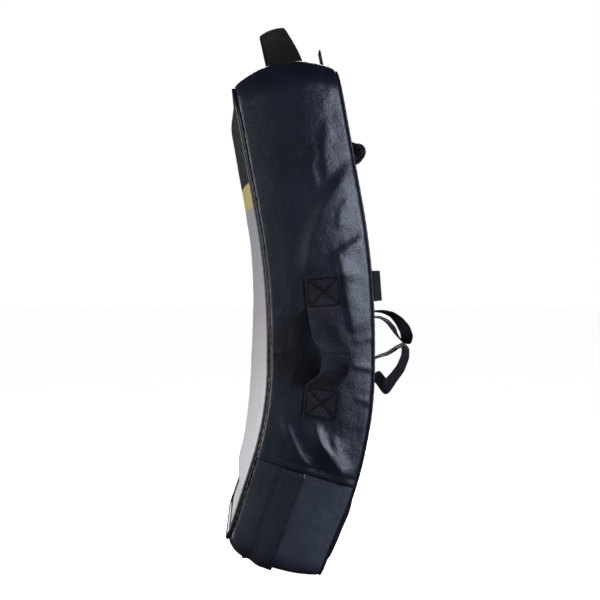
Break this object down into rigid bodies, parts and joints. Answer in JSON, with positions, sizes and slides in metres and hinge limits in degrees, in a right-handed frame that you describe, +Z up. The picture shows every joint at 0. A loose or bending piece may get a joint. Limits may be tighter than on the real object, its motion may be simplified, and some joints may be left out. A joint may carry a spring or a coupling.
{
  "type": "curved kick shield",
  "caption": "Curved foam kick shield, concave strike face, webbing handles on both ends and sides, back grip, hook-and-loop arm strap and arm loops",
  "frame": {"origin": "on the back panel, in the middle of its upright stretch, where the forearm rests, halfway across the width", "axes": "+X to the shield's right side (along the width), +Y from the strike face to the back panel, +Z up along the length, towards the top handle"},
  "size_m": [0.4716, 0.287, 0.8532],
  "materials": {
    "body_cover": "satin",
    "face_cover": "satin",
    "piping": "satin",
    "webbing": "matte",
    "tape": "matte",
    "zip_plastic": "satin",
    "zip_metal": "satin",
    "dense_foam": "matte",
    "main_foam": "matte",
    "soft_foam": "matte"
  },
  "bodies": {
    "shield": {"arm_loop_lower_end_left": "webbing", "arm_loop_lower_end_right": "webbing", "arm_loop_upper_end_left": "webbing", "arm_loop_upper_end_right": "webbing", "arm_strap_end_left": "webbing", "arm_strap_end_right": "webbing", "arm_strap_loop_half": "webbing", "arm_strap_loop_tape": "tape", "back_foam": "soft_foam", "back_panel": "body_cover", "back_piping": "piping", "boot_gusset_front": "body_cover", "boot_gusset_rear": "body_cover", "bottom_handle_end_left": "webbing", "bottom_handle_end_right": "webbing", "core_foam": "main_foam", "front_panel": "face_cover", "front_piping": "piping", "grip_base": "webbing", "grip_end_left": "webbing", "grip_end_right": "webbing", "main_gusset": "body_cover", "side_handle_left_end_lower": "webbing", "side_handle_left_end_upper": "webbing", "side_handle_right_end_lower": "webbing", "side_handle_right_end_upper": "webbing", "strike_foam": "dense_foam", "top_handle_end_left": "webbing", "top_handle_end_right": "webbing", "zip_coil": "zip_plastic", "zip_flap": "body_cover", "zip_tape_front": "tape", "zip_tape_rear": "tape"},
    "top_handle": {"top_handle": "webbing"},
    "bottom_handle": {"bottom_handle": "webbing"},
    "side_handle_right": {"side_handle_right": "webbing"},
    "side_handle_left": {"side_handle_left": "webbing"},
    "grip_handle": {"grip_handle": "webbing"},
    "arm_strap_flap": {"arm_strap_hook_half": "webbing", "arm_strap_hook_tape": "tape"},
    "arm_loop_upper": {"arm_loop_upper": "webbing"},
    "arm_loop_lower": {"arm_loop_lower": "webbing"},
    "hang_loop": {"hang_loop": "webbing"},
    "zip_slider": {"zip_slider": "zip_metal", "zip_pull": "zip_metal"}
  },
  "joints": [
    {"name": "top_handle_swing", "type": "hinge", "parent": "shield", "child": "top_handle", "pos_m": [0, -0.11994, 0.4262], "axis": [1, 0, 0], "range_deg": [-25, 30]},
    {"name": "bottom_handle_swing", "type": "hinge", "parent": "shield", "child": "bottom_handle", "pos_m": [0, -0.16682, -0.31601], "axis": [1, 0, 0], "range_deg": [-30, 30]},
    {"name": "side_handle_right_swing", "type": "hinge", "parent": "shield", "child": "side_handle_right", "pos_m": [0.1839, -0.0759, 0.0085], "axis": [0, 0, 1], "range_deg": [-55, 15]},
    {"name": "side_handle_left_swing", "type": "hinge", "parent": "shield", "child": "side_handle_left", "pos_m": [-0.1839, -0.0759, 0.0085], "axis": [0, 0, -1], "range_deg": [-55, 15]},
    {"name": "grip_handle_lift", "type": "slide", "parent": "shield", "child": "grip_handle", "axis": [0, 0.9839, 0.1788], "range_m": [0, 0.018]},
    {"name": "arm_strap_open", "type": "hinge", "parent": "shield", "child": "arm_strap_flap", "pos_m": [0.095, 0.00275, 0.09662], "axis": [0, 0.0705, -0.9975], "range_deg": [0, 100]},
    {"name": "arm_loop_upper_swing", "type": "hinge", "parent": "shield", "child": "arm_loop_upper", "pos_m": [0, 0.00407, 0.06201], "axis": [1, 0, 0], "range_deg": [0, 15]},
    {"name": "arm_loop_lower_swing", "type": "hinge", "parent": "shield", "child": "arm_loop_lower", "pos_m": [0, 0.00424, -0.0462], "axis": [1, 0, 0], "range_deg": [-95, 0]},
    {"name": "hang_loop_swing", "type": "hinge", "parent": "shield", "child": "hang_loop", "pos_m": [0, -0.06468, 0.42133], "axis": [1, 0, 0], "range_deg": [-75, 15]},
    {"name": "zip_slider_travel", "type": "slide", "parent": "shield", "child": "zip_slider", "axis": [1, 0, 0], "range_m": [0, 0.24]}
  ]
}
